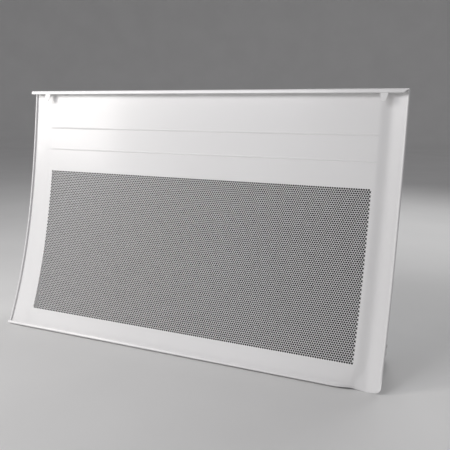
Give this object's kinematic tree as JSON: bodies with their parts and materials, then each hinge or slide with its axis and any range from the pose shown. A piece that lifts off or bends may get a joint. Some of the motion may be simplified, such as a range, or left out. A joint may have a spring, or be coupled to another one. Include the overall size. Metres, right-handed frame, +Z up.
{
  "type": "panel heater",
  "caption": "Wall-hung electric panel heater with a leaning, bowed, finely perforated white front cover that swings up from its top edge.",
  "frame": {"origin": "floor level, in the middle of the whole outline's width and depth", "axes": "+Z up, X along the heater's width, front cover towards -Y, wall towards +Y"},
  "size_m": [0.75, 0.1602, 0.4696],
  "materials": {
    "white_enamel": "smooth glossy baked enamel",
    "galvanised": "zinc-coated sheet",
    "black_anodised": "matt black anodised",
    "element_steel": "dull heat-darkened sheath",
    "bright_aluminium": "bright rolled sheet",
    "ceramic": "glazed steatite",
    "zinc_screw": "zinc plated",
    "brass": "bare brass",
    "white_plastic": "fine moulded texture",
    "black_plastic": "fine moulded texture",
    "rubber": "matt black rubber",
    "lead_sleeve": "silicone sleeve"
  },
  "bodies": {
    "chassis": {"back_plate": "galvanised", "floor_pan": "galvanised", "top_grille": "galvanised", "left_end_cap": "white_enamel", "right_end_cap": "white_enamel", "hinge_screws": "zinc_screw", "end_cap_screws": "zinc_screw", "cap_blocks": "galvanised", "catch_clips": "zinc_screw", "rubber_feet": "rubber", "left_wall_bracket": "galvanised", "right_wall_bracket": "galvanised", "bracket_screws": "zinc_screw", "emitter_plate": "black_anodised", "heating_element": "element_steel", "terminal_bushes": "ceramic", "terminal_pins": "zinc_screw", "element_clips": "galvanised", "ceramic_standoffs": "ceramic", "reflector": "bright_aluminium", "standoff_screws": "zinc_screw", "left_stay": "galvanised", "right_stay": "galvanised", "limit_bracket": "galvanised", "limit_thermostat": "ceramic", "control_box": "black_plastic", "thermostat_body": "black_plastic", "switch_body": "white_plastic", "terminal_block": "white_plastic", "terminal_screws": "brass", "cable_gland": "black_plastic", "gland_nut": "black_plastic", "earth_screw": "brass", "room_sensor": "ceramic", "sensor_clip": "black_plastic", "internal_leads": "lead_sleeve"},
    "cover": {"front_cover": "white_enamel", "left_tongue": "white_enamel", "right_tongue": "white_enamel", "left_hinge_ear": "galvanised", "right_hinge_ear": "galvanised", "catch_studs": "zinc_screw"},
    "knob": {"thermostat_knob": "white_plastic", "thermostat_shaft": "white_plastic"},
    "rocker": {"switch_rocker": "black_plastic"}
  },
  "joints": [
    {"name": "cover_swing", "type": "hinge", "parent": "chassis", "child": "cover", "pos_m": [0, 0.052, 0.451], "axis": [-1, 0, 0], "range_deg": [0, 60]},
    {"name": "thermostat_turn", "type": "hinge", "parent": "chassis", "child": "knob", "pos_m": [-0.36, 0.04, 0.25], "axis": [1, 0, 0], "range_deg": [0, 270]},
    {"name": "rocker_tip", "type": "hinge", "parent": "chassis", "child": "rocker", "pos_m": [-0.3568, 0.04, 0.19], "axis": [0, 1, 0], "range_deg": [0, 12]}
  ]
}
